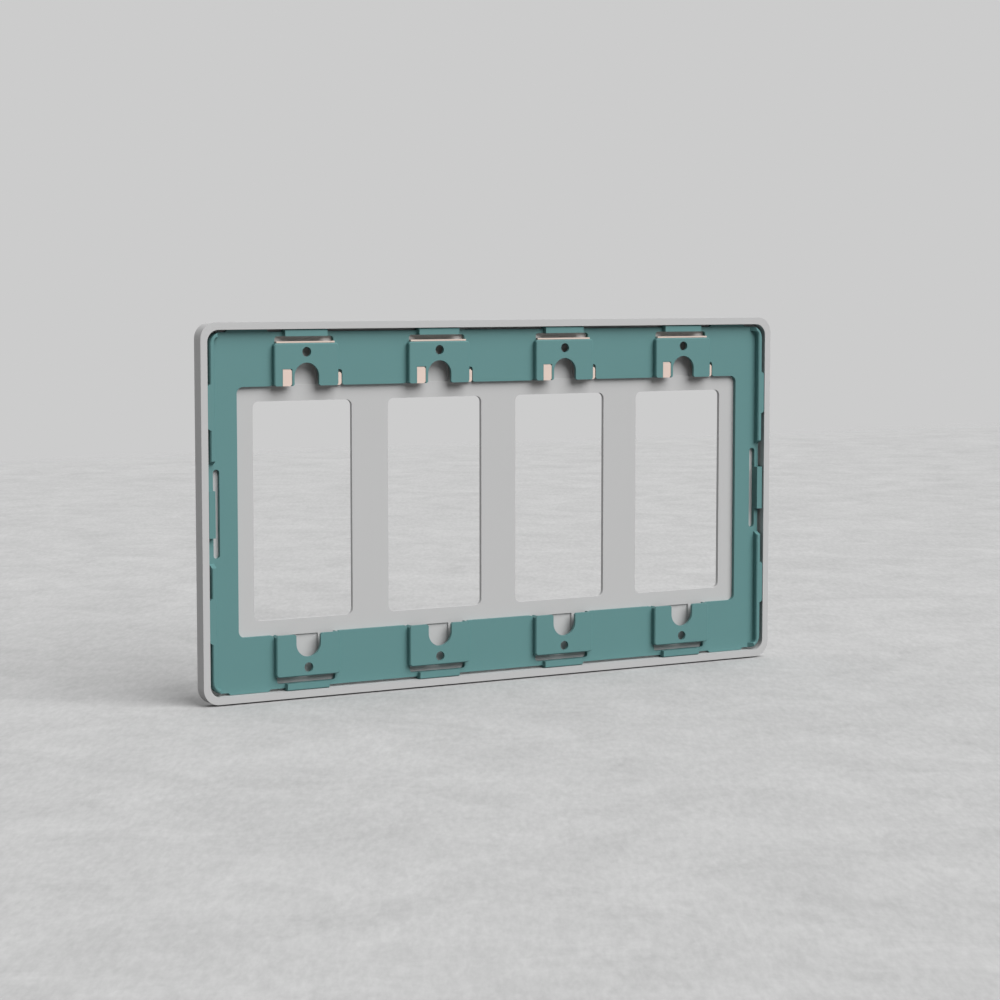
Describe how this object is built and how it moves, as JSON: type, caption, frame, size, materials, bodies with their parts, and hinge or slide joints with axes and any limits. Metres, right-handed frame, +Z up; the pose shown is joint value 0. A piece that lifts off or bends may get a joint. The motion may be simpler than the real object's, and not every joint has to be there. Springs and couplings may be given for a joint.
{
  "type": "outlet plate",
  "caption": "Four-gang wall plate for rectangular switches and sockets, seen from the back: a thin rimmed face plate with a moulded carrier frame clipped in.",
  "frame": {"origin": "middle of the plate's lower edge, halfway through its depth", "axes": "+X along the plate's length, +Z up the wall, -Y towards the wall; the room side faces +Y"},
  "size_m": [0.2084, 0.005, 0.1152],
  "materials": {
    "face": "matte light grey coating",
    "carrier": "matte, teal",
    "clip": "satin, pale pink"
  },
  "bodies": {
    "root": {"face_plate": "face", "carrier_frame": "carrier", "tab_clip_1": "clip", "tab_clip_2": "clip", "tab_clip_3": "clip", "tab_clip_4": "clip"}
  },
  "joints": []
}
